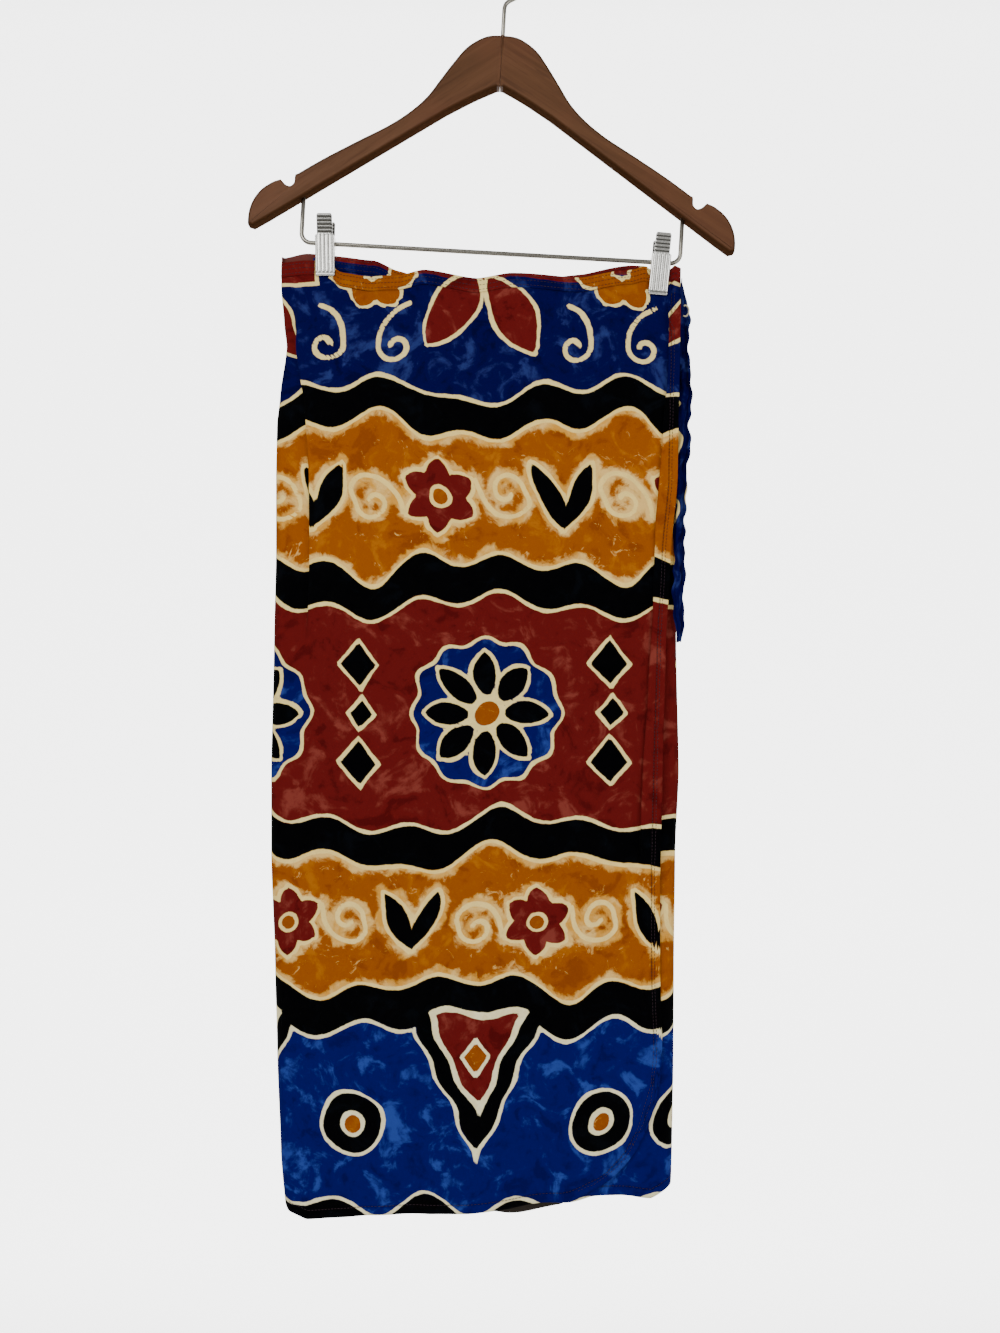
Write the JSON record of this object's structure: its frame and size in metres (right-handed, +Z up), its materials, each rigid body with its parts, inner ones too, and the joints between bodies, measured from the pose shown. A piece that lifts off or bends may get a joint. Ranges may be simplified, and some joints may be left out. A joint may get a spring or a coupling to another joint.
{
  "type": "wrap sarong skirt on a wooden clip hanger",
  "caption": "Long wrap sarong in printed cloth with a narrow waistband and a hanging tie, folded flat and clipped at the waist to a wooden hanger with a metal hook, bar and sprung clips.",
  "frame": {"origin": "the point at the top inside of the hook, where it rests on a rail", "axes": "+Z up, +X towards the right-hand side seen from the front, +Y from the front of the skirt to its back"},
  "size_m": [0.4428, 0.053, 1.1593],
  "materials": {
    "printed_cloth": "soft woven cloth with a wax-resist style print in blue, ochre, brick red, black and cream",
    "band_cloth": "the same woven cloth, folded double and stitched in two rows",
    "tie_cloth": "the same woven cloth, crumpled along its length",
    "stained_wood": "reddish brown stain under a satin lacquer",
    "plated_wire": "bright plated steel wire",
    "plated_sheet": "bright plated steel sheet with pressed flutes and ridges"
  },
  "bodies": {
    "root": {"front_wrap": "printed_cloth", "under_wrap": "printed_cloth", "back_panel": "printed_cloth", "waistband_front": "band_cloth", "waistband_under": "band_cloth", "waistband_back": "band_cloth", "waist_tie": "tie_cloth", "hanger_arm_left": "stained_wood", "hanger_arm_right": "stained_wood", "hanger_hook": "plated_wire", "trouser_bar": "plated_wire", "clip_left_front_jaw": "plated_sheet", "clip_left_back_jaw": "plated_sheet", "clip_left_spring": "plated_sheet", "clip_right_front_jaw": "plated_sheet", "clip_right_back_jaw": "plated_sheet", "clip_right_spring": "plated_sheet"}
  },
  "joints": []
}
